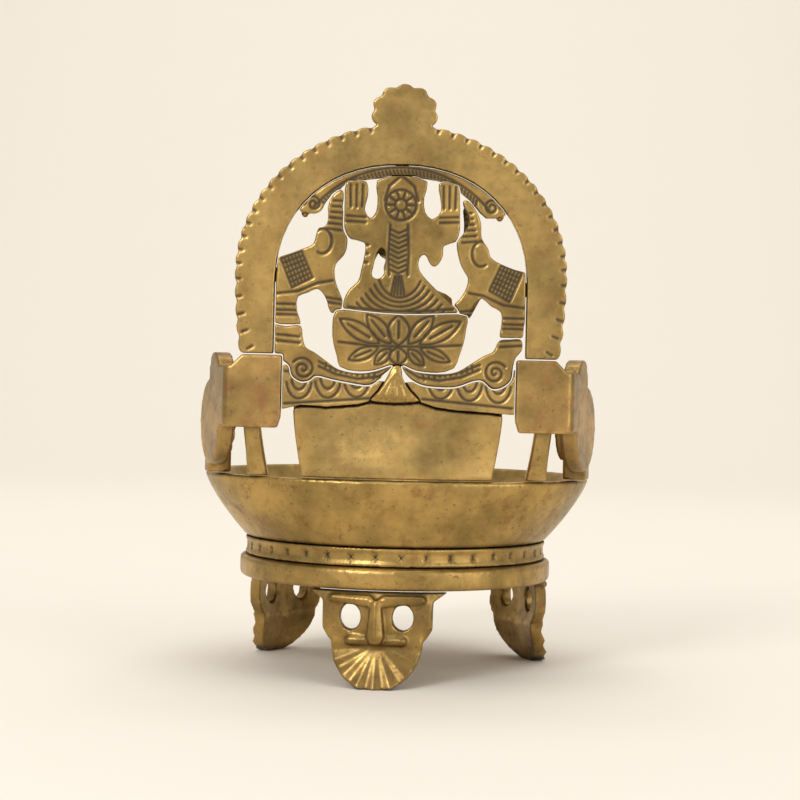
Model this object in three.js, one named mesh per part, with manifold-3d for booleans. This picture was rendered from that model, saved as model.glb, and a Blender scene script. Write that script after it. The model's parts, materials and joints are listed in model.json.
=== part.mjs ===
// A cast brass Gajalakshmi oil lamp: a spouted oil bowl on a collar and a three-footed stand, with an
// openwork plaque brazed to the back of the bowl. The goddess sits on a lotus between two elephants.
// Millimetres, +Z up. The spout points along -Y and the plain, chased back of the plaque faces +Y.
import * as THREE from "three";
import { mergeVertices } from "three/addons/utils/BufferGeometryUtils.js";
import Module from "manifold-3d";

const wasm = await Module();
wasm.setup();

// Brazed seam left between neighbouring castings
const seam = 0.3;

// Stand: a dished plate on three cast feet
const footHeight = 22.4;
const footHalfWidth = 12.8;
const footThickness = 3.2;
const footFlat = 0.5;
const footKick = 3.4;
const eyeHalfWidth = 2.5;
const eyeHalfHeight = 3.1;
const eyeSpacing = 12.2;
const fanRadius = 10.6;
const fanRibs = 9;
const footCount = 3;
const standTurn = 6;
const standRadius = 38.5;
const standThickness = 5.2;
const standWall = 4.2;
const standWeb = 2.4;

// Collar between the stand and the bowl
const collarRadius = 37.2;
const collarHeight = 4.5;
const collarWall = 3.4;

// Oil bowl
const bowlDepth = 16;
const bowlWall = 2.4;
const bowlFloor = 2.6;
const bowlShoulder = 2.6;
const rimHalfWidth = 47.5;
const rimRearReach = 42;
const rimFrontReach = 45;
const rimSquareness = 2.3;
const spoutReach = 17;
const spoutSpread = 0.26;
const wallCurve = 1.35;

// Support plate and posts that carry the plaque above the rim
const supportHeight = 16.4;
const supportHalfWidth = 24.2;
const supportTaper = 2.3;
const supportThickness = 4.2;
const postWidth = 4;
const postDepth = 3.2;
const postOffset = 32.4;
const postLean = 1.6;
const postLap = 3;

// Plaque: the arch and its openwork. Heights are above the underside of the beam.
const plaqueSetback = 40.2;
const plaqueThickness = 3.2;
const beamProud = 0.8;
const bracketHalfWidth = 40.4;
const bracketInner = 26.9;
const bracketDrop = 4.9;
const archFoot = 12.1;
const archSpring = 31;
const archHalfWidth = 37.6;
const archRise = 33.8;
const archTuck = 3.2;
const openingHalfWidth = 28.9;
const openingTop = 56;
const openingSpring = 28.5;
const openingSquareness = 2.2;
const scallopCount = 19;
const scallopDepth = 0.55;
const crestHalfWidth = 7.6;
const crestHeight = 10.4;
const edgeRound = 0.4;

// Side wings: a roundel on each side of the bowl, turned forward from its bracket
const wingFlare = 18;
const wingThickness = 3.8;
const roundelRadius = 10.2;
const roundelReach = 13.6;
const roundelDrop = 3.9;
const flameHeight = 16;
const reliefDepth = 3;

// Heights worked out from the sizes above
const standTop = footHeight + standThickness;
const collarTop = standTop + collarHeight;
const rimHeight = collarTop + bowlDepth;
const beamUnderside = rimHeight + supportHeight;
const plaqueFront = plaqueSetback - plaqueThickness;

const brass = new THREE.MeshStandardMaterial({ color: 0xb98a3e, roughness: 0.34, metalness: 1 });
const darkBrass = new THREE.MeshStandardMaterial({ color: 0x8a6126, roughness: 0.45, metalness: 1 });

// Solids and geometries

function solidOf(geometry) {
  const bare = geometry.clone();
  bare.deleteAttribute("normal");
  bare.deleteAttribute("uv");
  const merged = mergeVertices(bare, 1e-4);
  return new wasm.Manifold(
    new wasm.Mesh({
      numProp: 3,
      vertProperties: merged.attributes.position.array,
      triVerts: new Uint32Array(merged.index.array),
    }),
  );
}

function geometryOf(solid) {
  const mesh = solid.getMesh();
  const geometry = new THREE.BufferGeometry();
  geometry.setAttribute("position", new THREE.BufferAttribute(mesh.vertProperties, 3));
  geometry.setIndex(new THREE.BufferAttribute(mesh.triVerts, 1));
  const flat = geometry.toNonIndexed();
  flat.computeVertexNormals();
  return flat;
}

const join = (solids) => solids.reduce((whole, next) => whole.add(next));
const cut = (solid, tools) => tools.reduce((left, tool) => left.subtract(tool), solid);

// Closed outline through a few points, rounded by a Catmull-Rom curve
function rounded(points, steps = 3) {
  const curve = new THREE.CatmullRomCurve3(
    points.map(([x, y]) => new THREE.Vector3(x, y, 0)),
    true,
    "centripetal",
  );
  return curve
    .getPoints(points.length * steps)
    .slice(0, -1)
    .map((p) => [p.x, p.y]);
}

function ellipse(x, y, rx, ry, count = 20) {
  return Array.from({ length: count }, (_, i) => {
    const a = (2 * Math.PI * i) / count;
    return [x + rx * Math.cos(a), y + ry * Math.sin(a)];
  });
}

function areaOf(points) {
  return points.reduce((sum, [x, y], i) => {
    const [nx, ny] = points[(i + 1) % points.length];
    return sum + (x * ny - nx * y) / 2;
  }, 0);
}

// The outline moved out by a gap, so that a neighbour cut with it keeps the seam
function spread(points, gap) {
  const turn = areaOf(points) > 0 ? 1 : -1;
  const count = points.length;
  return points.map(([x, y], i) => {
    const [px, py] = points[(i + count - 1) % count];
    const [nx, ny] = points[(i + 1) % count];
    const before = new THREE.Vector2(y - py, px - x).normalize();
    const after = new THREE.Vector2(ny - y, x - nx).normalize();
    const middle = before.clone().add(after).normalize();
    const reach = gap / Math.max(0.5, middle.dot(after));
    return [x + turn * reach * middle.x, y + turn * reach * middle.y];
  });
}

function shapeOf(points, holes = []) {
  const vectors = (list) => list.map(([x, y]) => new THREE.Vector2(x, y));
  const shape = new THREE.Shape(vectors(points));
  shape.holes = holes.map((hole) => new THREE.Path(vectors(hole)));
  return shape;
}

// A flat casting between two depths, with its edges broken
function slab(points, near, far, { holes = [], round = 0 } = {}) {
  const geometry = new THREE.ExtrudeGeometry(shapeOf(points, holes), {
    depth: far - near - 2 * round,
    bevelEnabled: round > 0,
    bevelThickness: round,
    bevelSize: round,
    bevelOffset: -round,
    bevelSegments: 1,
    curveSegments: 1,
  });
  return solidOf(geometry.translate(0, 0, near + round));
}

const cutter = (points, near, far, gap = seam) => slab(spread(points, gap), near - gap, far + gap);

function box(x0, x1, y0, y1, z0, z1) {
  const geometry = new THREE.BoxGeometry(x1 - x0, y1 - y0, z1 - z0);
  return solidOf(geometry.translate((x0 + x1) / 2, (y0 + y1) / 2, (z0 + z1) / 2));
}

function ball([x, y, z], [rx, ry, rz], around = 10, up = 6) {
  const geometry = new THREE.SphereGeometry(1, around, up);
  return solidOf(geometry.rotateX(Math.PI / 2).scale(rx, ry, rz).translate(x, y, z));
}

// A tapered limb with round ends, flattened in depth
function limb(from, to, startRadius, endRadius, flat = 0.8, around = 6) {
  const start = new THREE.Vector3(...from);
  const end = new THREE.Vector3(...to);
  const length = start.distanceTo(end);
  const capSteps = 2;
  const profile = [];
  for (let i = 0; i <= capSteps; i++) {
    const a = ((i / capSteps) * Math.PI) / 2;
    profile.push(new THREE.Vector2(startRadius * Math.sin(a), -startRadius * Math.cos(a)));
  }
  for (let i = capSteps; i >= 0; i--) {
    const a = ((i / capSteps) * Math.PI) / 2;
    profile.push(new THREE.Vector2(endRadius * Math.sin(a), length + endRadius * Math.cos(a)));
  }
  const along = end.clone().sub(start).normalize();
  const turn = new THREE.Quaternion().setFromUnitVectors(new THREE.Vector3(0, 1, 0), along);
  const geometry = new THREE.LatheGeometry(profile, around).applyQuaternion(turn);
  return solidOf(geometry.scale(1, 1, flat).translate(start.x, start.y, start.z));
}

function turned(profile, around = 48) {
  const points = profile.map(([r, z]) => new THREE.Vector2(r, z));
  return new THREE.LatheGeometry(points, around).rotateX(Math.PI / 2);
}

// A closed body through rings of points, from the first ring to the last, both capped
function lofted(rings) {
  const count = rings[0].length;
  const middle = (ring) =>
    ring.reduce((sum, p) => sum.add(new THREE.Vector3(...p)), new THREE.Vector3()).divideScalar(count);
  const points = rings.flat();
  const faces = [];
  rings.slice(1).forEach((_, r) => {
    for (let i = 0; i < count; i++) {
      const a = r * count + i;
      const b = r * count + ((i + 1) % count);
      faces.push(a, b, b + count, a, b + count, a + count);
    }
  });
  const first = points.push(middle(rings[0]).toArray()) - 1;
  const last = points.push(middle(rings[rings.length - 1]).toArray()) - 1;
  const top = (rings.length - 1) * count;
  for (let i = 0; i < count; i++) {
    const j = (i + 1) % count;
    faces.push(j, i, first, top + i, top + j, last);
  }
  const geometry = new THREE.BufferGeometry();
  geometry.setAttribute("position", new THREE.Float32BufferAttribute(points.flat(), 3));
  geometry.setIndex(faces);
  return geometry.toNonIndexed();
}

// A sheet with a front and a back surface over a grid of rows and columns, closed at its four edges
function sheet(rows, columns, frontPoint, backPoint) {
  const ring = (i) => {
    const across = Array.from({ length: columns + 1 }, (_, j) => j / columns);
    const front = across.map((t) => frontPoint(i / rows, t));
    const back = across.map((t) => backPoint(i / rows, t)).reverse();
    return [...front, ...back];
  };
  const rings = Array.from({ length: rows + 1 }, (_, i) => ring(i));
  const count = rings[0].length;
  const points = rings.flat();
  const faces = [];
  for (let r = 0; r < rows; r++) {
    for (let i = 0; i < count; i++) {
      const a = r * count + i;
      const b = r * count + ((i + 1) % count);
      faces.push(a, b, b + count, a, b + count, a + count);
    }
  }
  const capped = [0, rows * count];
  capped.forEach((base, k) => {
    for (let j = 0; j < columns; j++) {
      const a = base + j;
      const b = base + j + 1;
      const c = base + count - 2 - j;
      const d = base + count - 1 - j;
      faces.push(...(k ? [a, b, c, a, c, d] : [a, c, b, a, d, c]));
    }
  });
  return solidFacingOut(points, faces);
}

// Turns the faces round where they were wound the wrong way
function solidFacingOut(points, faces) {
  const geometry = new THREE.BufferGeometry();
  geometry.setAttribute("position", new THREE.Float32BufferAttribute(points.flat(), 3));
  geometry.setIndex(faces);
  const solid = solidOf(geometry.toNonIndexed());
  if (solid.volume() > 0) return solid;
  geometry.setIndex(faces.slice().reverse());
  return solidOf(geometry.toNonIndexed());
}

// Bowl, collar and stand

// Distance from the lamp's axis to the outside of the rim, by direction; 0 is the rear and pi the spout
function rimRadius(angle) {
  const c = Math.abs(Math.cos(angle));
  const s = Math.abs(Math.sin(angle));
  const reach = Math.cos(angle) > 0 ? rimRearReach : rimFrontReach;
  const base = ((s / rimHalfWidth) ** rimSquareness + (c / reach) ** rimSquareness) ** (-1 / rimSquareness);
  const fromSpout = Math.PI - Math.abs(Math.atan2(Math.sin(angle), Math.cos(angle)));
  return base + spoutReach * Math.exp(-((fromSpout / spoutSpread) ** 1.6));
}

// How far behind the axis the rim's outside lies at a given distance to one side
function rimRear(offset) {
  const share = Math.min(1, Math.abs(offset) / rimHalfWidth) ** rimSquareness;
  return rimRearReach * (1 - share) ** (1 / rimSquareness);
}

function oilBowl() {
  const around = 48;
  const plugRadius = collarRadius - collarWall - seam;
  const plugBottom = standTop + seam;
  const seat = collarTop + seam;
  const floor = plugBottom + bowlFloor;
  const ring = (radius, z) =>
    Array.from({ length: around }, (_, i) => {
      const a = (2 * Math.PI * i) / around;
      const r = radius(a);
      return [-r * Math.sin(a), r * Math.cos(a), z];
    });
  const depth = rimHeight - seat;
  const outer = (a, drop) => rimRadius(a) - (rimRadius(a) - collarRadius) * (drop / depth) ** wallCurve;
  const steps = 5;
  const rings = [ring(() => plugRadius, plugBottom), ring(() => plugRadius, seat)];
  for (let i = steps; i >= 1; i--) {
    const drop = (depth * i) / steps;
    rings.push(ring((a) => outer(a, drop), rimHeight - drop));
  }
  rings.push(ring((a) => rimRadius(a), rimHeight - edgeRound));
  rings.push(ring((a) => rimRadius(a) - edgeRound, rimHeight));
  rings.push(ring((a) => rimRadius(a) - bowlWall, rimHeight));
  const shoulder = seat + bowlShoulder;
  for (let i = 1; i <= steps; i++) {
    const drop = (depth * i) / steps;
    rings.push(ring((a) => outer(a, drop) - bowlWall, THREE.MathUtils.lerp(rimHeight, shoulder, i / steps)));
  }
  rings.push(ring(() => plugRadius - 2 * bowlWall, floor));
  return lofted(rings);
}

function collarBand() {
  const inner = collarRadius - collarWall;
  const low = standTop + seam;
  const high = collarTop;
  const lip = 0.35;
  const step = 0.6;
  return turned([
    [inner, low],
    [collarRadius, low],
    [collarRadius, low + step],
    [collarRadius - lip, low + 2 * step],
    [collarRadius - lip, high - 2 * step],
    [collarRadius, high - step],
    [collarRadius, high],
    [inner, high],
    [inner, low],
  ]);
}

function standPlate() {
  const underside = standTop - standWeb;
  const round = 0.6;
  return turned([
    [0, underside],
    [standRadius - standWall - round, underside],
    [standRadius - standWall, underside - round],
    [standRadius - standWall, footHeight],
    [standRadius - round, footHeight],
    [standRadius, footHeight + round],
    [standRadius, standTop - round],
    [standRadius - round, standTop],
    [0, standTop],
  ]);
}

// Feet: a lion mask with open eyes over a ribbed fan. x runs along the stand's edge, z outward.

function footDepth(x, y) {
  const up = y / footHeight;
  const mask = 0.9 * Math.sin(Math.PI * THREE.MathUtils.clamp((up - 0.45) / 0.55, 0, 1));
  const kick = footKick * THREE.MathUtils.clamp(1 - up / 0.45, 0, 1) ** 1.5;
  return mask + kick - x ** 2 / (2 * standRadius) - 0.9;
}

function foot() {
  const neck = fanRadius - footFlat;
  const topEdge = footHeight - seam;
  const half = (t) => {
    const shoulder = 3.2 * THREE.MathUtils.clamp((t - 0.8) / 0.2, 0, 1) ** 2;
    const jaw = 3.6 * THREE.MathUtils.clamp(1 - t / 0.35, 0, 1) ** 1.5;
    return footHalfWidth + shoulder - jaw;
  };
  const surface = (offset, t, s) => {
    const y = neck - 1 + (topEdge - neck + 1) * t;
    const x = half(t) * (2 * s - 1);
    return [x, y, footDepth(x, y) + offset];
  };
  const mask = sheet(
    6,
    8,
    (t, s) => surface(0, t, s),
    (t, s) => surface(-footThickness, t, s),
  );
  const eyes = [-1, 1].map((side) => {
    const outline = ellipse((side * eyeSpacing) / 2, neck + 6.2, eyeHalfWidth, eyeHalfHeight, 12);
    return slab(outline, -3 * footThickness, 3 * footThickness);
  });
  const nose = limb([0, neck + 9, 0.6], [0, neck + 2, 0.9], 1.5, 2.3, 0.75);
  const brows = [-1, 1].map((side) =>
    limb([side * 1.8, neck + 10, -0.1], [side * 10.5, neck + 10.4, -2.2], 1.5, 1, 0.7),
  );
  const lips = limb([-6, neck + 0.9, -1], [6, neck + 0.9, -1], 1.3, 1.3, 1);
  const fan = sheet(
    fanRibs * 2,
    2,
    (t, s) => fanPoint(t, s, 0),
    (t, s) => fanPoint(t, s, -footThickness),
  );
  const whole = join([cut(mask, eyes), nose, ...brows, lips, fan]);
  const floor = box(-50, 50, -50, 0, -50, 50);
  return cut(whole, [floor, box(-50, 50, topEdge, 50, -50, 50)]);
}

// A point of the ribbed fan: t goes round it and s from its hub to its edge
function fanPoint(t, s, offset) {
  const sweep = THREE.MathUtils.degToRad(205);
  const angle = -Math.PI / 2 + sweep * (t - 0.5);
  const hub = 1.5;
  const r = hub + (fanRadius - hub) * s;
  const x = -r * Math.cos(angle);
  const y = fanRadius - footFlat + r * Math.sin(angle);
  const rib = 0.75 * Math.abs(Math.sin(Math.PI * fanRibs * t)) * s;
  return [x, y, footDepth(x, y) + (offset ? offset : rib)];
}

// Support plate, posts and plaque. In the plaque's own frame x runs to the right seen from behind,
// y is height above the beam's underside and z runs towards the back.

function supportPlate() {
  const lap = 3;
  const rise = supportHeight - seam + lap;
  const half = (t) => supportHalfWidth - supportTaper * (1 - Math.sin((Math.min(1, t) * Math.PI) / 2));
  const surface = (inset, t, s) => {
    const x = half(t) * (2 * s - 1);
    const ease = THREE.MathUtils.smoothstep(t, 0, 0.8);
    const z = rimRear(x) * (1 - ease) + (plaqueSetback - seam) * ease;
    return [x, -supportHeight + seam + rise * t, z - inset];
  };
  const plate = sheet(
    8,
    12,
    (t, s) => surface(0, t, s),
    (t, s) => surface(supportThickness * (1 - 0.25 * (1 - t)), t, s),
  );
  return cut(plate, [cutter(beamOutline(), plaqueFront + 0.9, plaqueSetback + beamProud)]);
}

function post(side) {
  const steps = 6;
  const top = postLap - bracketDrop;
  const rings = Array.from({ length: steps + 1 }, (_, i) => {
    const t = i / steps;
    const y = -supportHeight + seam + (top + supportHeight - seam) * t;
    const x = side * (postOffset + postLean * t);
    const flare = 1 + 0.25 * (1 - t) ** 3;
    const foot = rimRear(postOffset) - postDepth / 2 + 0.1;
    const head = plaqueFront - seam - postDepth / 2;
    const z = foot + (head - foot) * THREE.MathUtils.smoothstep(t, 0, 0.9);
    const w = (postWidth / 2) * flare;
    const d = postDepth / 2;
    const corner = 0.6;
    return [
      [x - w + corner, y, z - d],
      [x + w - corner, y, z - d],
      [x + w, y, z - d + corner],
      [x + w, y, z + d - corner],
      [x + w - corner, y, z + d],
      [x - w + corner, y, z + d],
      [x - w, y, z + d - corner],
      [x - w, y, z - d + corner],
    ];
  });
  const ridge = limb(
    [side * (postOffset + 0.1), -supportHeight + 2, rimRear(postOffset) - 0.4],
    [side * (postOffset + postLean * 0.8), top - 1, plaqueFront - seam - postDepth / 2],
    0.9,
    0.9,
    1,
    8,
  );
  return solidOf(lofted(rings.map((ring) => ring.reverse()))).add(ridge);
}

// The openwork is drawn for an opening of this size and fitted to the real one
const drawnHalfWidth = 28.9;
const drawnTop = 56;
const fitted = (points) =>
  points.map(([x, y]) => [(x * openingHalfWidth) / drawnHalfWidth, (y * openingTop) / drawnTop]);
const fit = (x, y) => fitted([[x, y]])[0];

function beamOutline() {
  const scale = openingTop / drawnTop;
  const side = bracketInner - seam;
  const lower = [
    [-22.2, 0.5],
    [-16.3, 0.2],
    [-9.2, 0.9],
    [-6.4, 1.7],
    [-1, 1.3],
    [4.8, 1.8],
    [8.5, 0.6],
    [13.2, 0],
    [19.1, -0.3],
  ];
  const inner = fitted(lower);
  return [
    [-side, -0.6],
    ...inner,
    [side, -0.8],
    [side, 9.6 * scale],
    ...fitted([
      [23, 9.6],
      [17, 7.4],
      [0, 6],
      [-17, 7.4],
      [-23, 9.6],
    ]),
    [-side, 9.6 * scale],
  ];
}

const apronOutline = () =>
  rounded(
    fitted([
      [-1.3, 9.8],
      [-2.6, 7.4],
      [-4.6, 3.9],
      [-6.4, 1.9],
      [-3.8, 1.5],
      [-0.9, 1.4],
      [2.2, 1.6],
      [4.8, 2],
      [2.6, 4.2],
      [0.8, 7.4],
      [0.4, 9.8],
    ]),
    2,
  );

const scrollOutline = {
  left: () =>
    rounded(
      fitted([
        [-1.6, 9.8],
        [-5.2, 8.6],
        [-8.9, 8],
        [-13.9, 8.8],
        [-16.8, 10.7],
        [-19.5, 12.6],
        [-21.6, 13.8],
        [-22.3, 16.2],
        [-22.8, 18.6],
        [-26, 18.4],
        [-29.4, 18.6],
        [-29.4, 14],
        [-27.6, 11.2],
        [-25.2, 9.4],
        [-24.6, 7.2],
        [-22.5, 5.8],
        [-20.4, 6.2],
        [-19.2, 7.2],
        [-15.5, 6.5],
        [-11.4, 5.8],
        [-6.4, 5.4],
        [-3.8, 7.6],
      ]),
    ),
  right: () =>
    rounded(
      fitted([
        [0.7, 9.8],
        [3.8, 8.6],
        [9.2, 8.2],
        [13.3, 8.8],
        [16.6, 10.8],
        [19.4, 12.6],
        [21.6, 13.7],
        [22.9, 16.2],
        [25.2, 16.5],
        [27.8, 16.5],
        [28.1, 14.2],
        [26.6, 12.2],
        [26.1, 10],
        [25.7, 7.2],
        [23.6, 5.4],
        [21.4, 5.1],
        [19.2, 6.9],
        [17.2, 6.8],
        [13.4, 5.4],
        [9.3, 5.2],
        [5.1, 5.7],
        [2.2, 7.4],
      ]),
    ),
};

const lotusOutline = () =>
  rounded(
    fitted([
      [-14.8, 22.2],
      [-15.5, 18.6],
      [-15.2, 14.8],
      [-14.3, 11.8],
      [-13.6, 9.4],
      [-9, 8.4],
      [-0.6, 9.2],
      [8, 8.4],
      [12.6, 9.6],
      [13.8, 12.6],
      [14.7, 15.4],
      [15.2, 18.6],
      [15.4, 21.6],
      [10, 21.9],
      [4, 21.6],
      [-4, 21.7],
      [-10, 22.2],
    ]),
    2,
  );

const goddessOutline = () =>
  rounded(
    fitted([
      [-12.7, 21.4],
      [-13, 24.6],
      [-11.7, 27.3],
      [-9.8, 29.1],
      [-9.2, 31.6],
      [-8.5, 35],
      [-8.5, 38],
      [-11.8, 38.8],
      [-13.2, 41],
      [-13.3, 44.6],
      [-13.3, 48],
      [-13, 51.6],
      [-10.6, 52.2],
      [-8.3, 51.8],
      [-8, 48.6],
      [-8.7, 45.6],
      [-7.3, 43.5],
      [-6, 45.2],
      [-5.8, 48.6],
      [-6, 52.2],
      [-0.2, 53.4],
      [5.6, 52.2],
      [4.9, 48.6],
      [5.2, 45.2],
      [6.8, 43.6],
      [8.8, 45.4],
      [8.6, 48.6],
      [8.2, 51.8],
      [10.4, 52.2],
      [12.6, 51.4],
      [13.1, 48],
      [13.2, 44.4],
      [13.2, 41],
      [12.4, 38.7],
      [9.6, 37.6],
      [9.5, 35.4],
      [8.6, 33.5],
      [7.4, 32.8],
      [6.3, 33.9],
      [5.6, 35.5],
      [4.5, 35.3],
      [3.9, 33.6],
      [4.2, 31.8],
      [6.3, 29.3],
      [8.6, 27.1],
      [11, 24.8],
      [13, 23],
      [13.2, 21.4],
      [0, 21],
    ]),
    2,
  );

const armOpening = () =>
  rounded(
    fitted([
      [-6.7, 30.3],
      [-6.4, 32.6],
      [-5.7, 35.5],
      [-4.7, 36.9],
      [-3.8, 36.2],
      [-3.6, 33.4],
      [-4.1, 30.5],
      [-5.4, 29.7],
    ]),
    2,
  );

const elephantOutline = {
  left: () =>
    rounded(
      fitted([
        [-29.8, 33],
        [-25.2, 35.2],
        [-22.8, 36.2],
        [-20.3, 37.3],
        [-19.7, 39.4],
        [-19.1, 41.1],
        [-17.6, 41.4],
        [-17, 43.4],
        [-17.1, 45.8],
        [-16.4, 48],
        [-15, 49.5],
        [-13.9, 49.9],
        [-13.5, 48.6],
        [-13.8, 46.4],
        [-13.4, 44],
        [-12.6, 40],
        [-12.6, 36.6],
        [-13.4, 34.8],
        [-15, 33],
        [-15.3, 31],
        [-14.9, 28.6],
        [-14, 26.4],
        [-13.3, 24.6],
        [-13.2, 21.8],
        [-16, 21.8],
        [-16.8, 24.2],
        [-17.9, 26.2],
        [-19.2, 27.2],
        [-21.4, 26.2],
        [-23.6, 25.3],
        [-23.7, 22],
        [-22.7, 18.4],
        [-26, 18],
        [-29.5, 18.2],
        [-29.7, 23],
        [-29.8, 28],
      ]),
      2,
    ),
  right: () =>
    rounded(
      fitted([
        [29.6, 31.2],
        [26, 32.5],
        [22.6, 33.8],
        [20.4, 35.2],
        [19.9, 37],
        [19, 38.3],
        [18.2, 39.8],
        [18.1, 42.6],
        [17.4, 44.8],
        [16.1, 46.9],
        [14.7, 48.1],
        [13.8, 47.9],
        [14.3, 46.2],
        [15.3, 44.6],
        [15.2, 42.4],
        [14, 40.4],
        [12.6, 38.4],
        [13, 35.6],
        [13.5, 33.7],
        [14.5, 31.8],
        [15.4, 30.3],
        [14.9, 27.8],
        [13.5, 25.4],
        [11.9, 23.6],
        [12.5, 21.4],
        [15.1, 21.5],
        [16, 23.2],
        [17.3, 25],
        [18.6, 25.9],
        [20.8, 24],
        [23.1, 22.8],
        [23.3, 20],
        [23.1, 16],
        [27.8, 16],
        [28.4, 19.6],
        [29.4, 24],
      ]),
      2,
    ),
};

function garlandOutline() {
  const lower = fitted([
    [-22.2, 44.6],
    [-20.4, 44.4],
    [-18.8, 45.2],
    [-17.8, 46.9],
    [-16.2, 49.2],
    [-13.4, 51.2],
    [-8.3, 52.5],
    [-4.2, 53],
    [3.2, 53.2],
    [8.2, 52.5],
    [12.2, 50.8],
    [15.4, 48.2],
    [17.8, 45.4],
    [19.2, 44.2],
    [21.2, 44.2],
  ]);
  const reach = 1.2;
  const upper = openingCurve(0.62, reach).reverse();
  return [...rounded([...lower, ...upper], 1)];
}

// Points of the opening's upper curve, from left to right, within a share of a half turn
function openingCurve(share = 1, grow = 0, count = 28) {
  return Array.from({ length: count + 1 }, (_, i) => {
    const a = Math.PI / 2 - (Math.PI / 2) * share * ((2 * i) / count - 1) + 0;
    const power = 2 / openingSquareness;
    const x = -Math.sign(Math.cos(Math.PI - a)) * Math.abs(Math.cos(a)) ** power * (openingHalfWidth + grow);
    const y = openingSpring + Math.sin(a) ** power * (openingTop - openingSpring + grow);
    return [x, y];
  }).sort((p, q) => p[0] - q[0]);
}

// The arch's outer edge from its left foot to its right foot, broken into shallow lobes, with the crest on top
function archOutline() {
  const lobes = 2 * scallopCount;
  const perLobe = 3;
  const footAngle = Math.asin((archSpring - archFoot) / (archRise * 1.28));
  const crestAngle = Math.asin(crestHalfWidth / archHalfWidth);
  const edge = (angle, lift) => {
    const below = angle < 0 ? 1.28 : 1;
    const tuck = angle < 0 ? archTuck * Math.sin(-angle) ** 2 : 0;
    return [
      (archHalfWidth - tuck) * Math.cos(angle) ** (angle < 0 ? 0.2 : 1) * (1 + lift / archHalfWidth),
      archSpring + archRise * below * Math.sin(angle) * (1 + lift / archRise),
    ];
  };
  const right = [];
  const sweep = Math.PI / 2 - crestAngle + footAngle;
  const steps = (lobes / 2) * perLobe;
  for (let i = 0; i <= steps; i++) {
    const lift = scallopDepth * Math.sin(((i % perLobe) / perLobe) * Math.PI);
    right.push(edge(-footAngle + (sweep * i) / steps, lift));
  }
  const crestFoot = right[right.length - 1][1];
  const crest = crestOutline(crestFoot);
  const left = right.map(([x, y]) => [-x, y]).reverse();
  const inner = [
    [openingHalfWidth, archFoot],
    ...openingCurve().reverse(),
    [-openingHalfWidth, archFoot],
  ];
  return [...right, ...crest, ...left, ...inner.reverse()];
}

// Seven rounded lobes that fan out over a short neck
function crestOutline(base) {
  const lobes = 7;
  const perLobe = 5;
  const centre = base + crestHeight * 0.36;
  const points = [];
  const sweep = THREE.MathUtils.degToRad(236);
  for (let i = 0; i <= lobes * perLobe; i++) {
    const t = i / (lobes * perLobe);
    const a = Math.PI / 2 + sweep * (t - 0.5);
    const lobe = Math.abs(Math.sin(Math.PI * lobes * t));
    const rx = crestHalfWidth * (0.9 + 0.12 * lobe);
    const ry = crestHeight * 0.64 * (0.88 + 0.12 * lobe);
    points.push([rx * Math.cos(a), centre + ry * Math.sin(a)]);
  }
  return points;
}

const farBehind = plaqueSetback + 20;
const behindPlaque = () => box(-80, 80, -60, 120, plaqueSetback, farBehind);

const archFrame = () => slab(archOutline(), plaqueFront, plaqueSetback);

// Raised mouldings that run round the front of the arch
function archMoulding() {
  const width = 1.5;
  const inner = openingCurve(1, 0.7);
  const outer = openingCurve(1, 0.7 + width);
  const foot = archFoot + 0.4;
  const band = [
    [-(openingHalfWidth + 0.7), foot],
    ...inner,
    [openingHalfWidth + 0.7, foot],
    [openingHalfWidth + 0.7 + width, foot],
    ...outer.reverse(),
    [-(openingHalfWidth + 0.7 + width), foot],
  ];
  return slab(band, plaqueFront - 0.9, plaqueFront + 0.5);
}

// Petals on the front of the crest, one to each lobe
function crestPalmette() {
  const top = archSpring + archRise;
  const petals = [-72, -36, 0, 36, 72].map((lean) => {
    const a = THREE.MathUtils.degToRad(lean);
    const reach = crestHeight * 0.5;
    const root = [0, top + 1.6, plaqueFront - seam];
    const tip = [reach * Math.sin(a), top + 1.8 + reach * Math.cos(a), plaqueFront - seam];
    return limb(root, tip, 1, 1.6, 0.9, 8);
  });
  const boss = ball([0, top + 1.6, plaqueFront - seam], [2.4, 2.4, 1.9], 12, 6);
  return cut(join([boss, ...petals]), [box(-80, 80, 0, 120, plaqueFront - seam, farBehind)]);
}

const archTools = () => [cutter(archOutline(), plaqueFront, plaqueSetback)];
const scrollTools = () => ["left", "right"].map((side) => cutter(scrollOutline[side](), plaqueFront, plaqueSetback));

const beamFront = plaqueFront + 0.9;
const beamRear = plaqueSetback + beamProud;
const apronFront = beamRear - 1.8;
const apronTool = () => cutter(apronOutline(), apronFront, beamRear + 2);

function beam() {
  const body = slab(beamOutline(), beamFront, beamRear);
  return cut(body, [...scrollTools().map((tool) => tool.translate([0, 0, beamProud])), apronTool()]);
}

// The pleated cloth that hangs over the middle of the beam
function apron() {
  const pleats = [-2, -1, 0, 1, 2].map((k) => {
    const [topX, topY] = fit(-0.45 + 0.12 * k, 8.6);
    const [lowX, lowY] = fit(-0.8 + 1.9 * k, 2.9);
    return limb([topX, topY, beamRear], [lowX, lowY, beamRear], 0.5, 0.95, 1);
  });
  const body = slab(apronOutline(), apronFront, beamRear + 0.2);
  const within = slab(apronOutline(), apronFront, beamRear + 2);
  const pleated = join([body, ...pleats]).intersect(within);
  return largest(cut(pleated, scrollTools().map((tool) => tool.translate([0, 0, beamProud]))));
}

function spiral(x, y, size, turn) {
  const steps = 14;
  const points = Array.from({ length: steps + 1 }, (_, i) => {
    const a = turn * (0.4 + (i / steps) * 1.5 * Math.PI);
    const r = size * (1 - 0.72 * (i / steps));
    return new THREE.Vector3(x + r * Math.cos(a), y + r * Math.sin(a), plaqueFront);
  });
  const path = new THREE.CatmullRomCurve3(points);
  const section = shapeOf(ellipse(0, 0, 0.9, 0.55, 6));
  return solidOf(new THREE.ExtrudeGeometry(section, { steps, extrudePath: path, bevelEnabled: false }));
}

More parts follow.
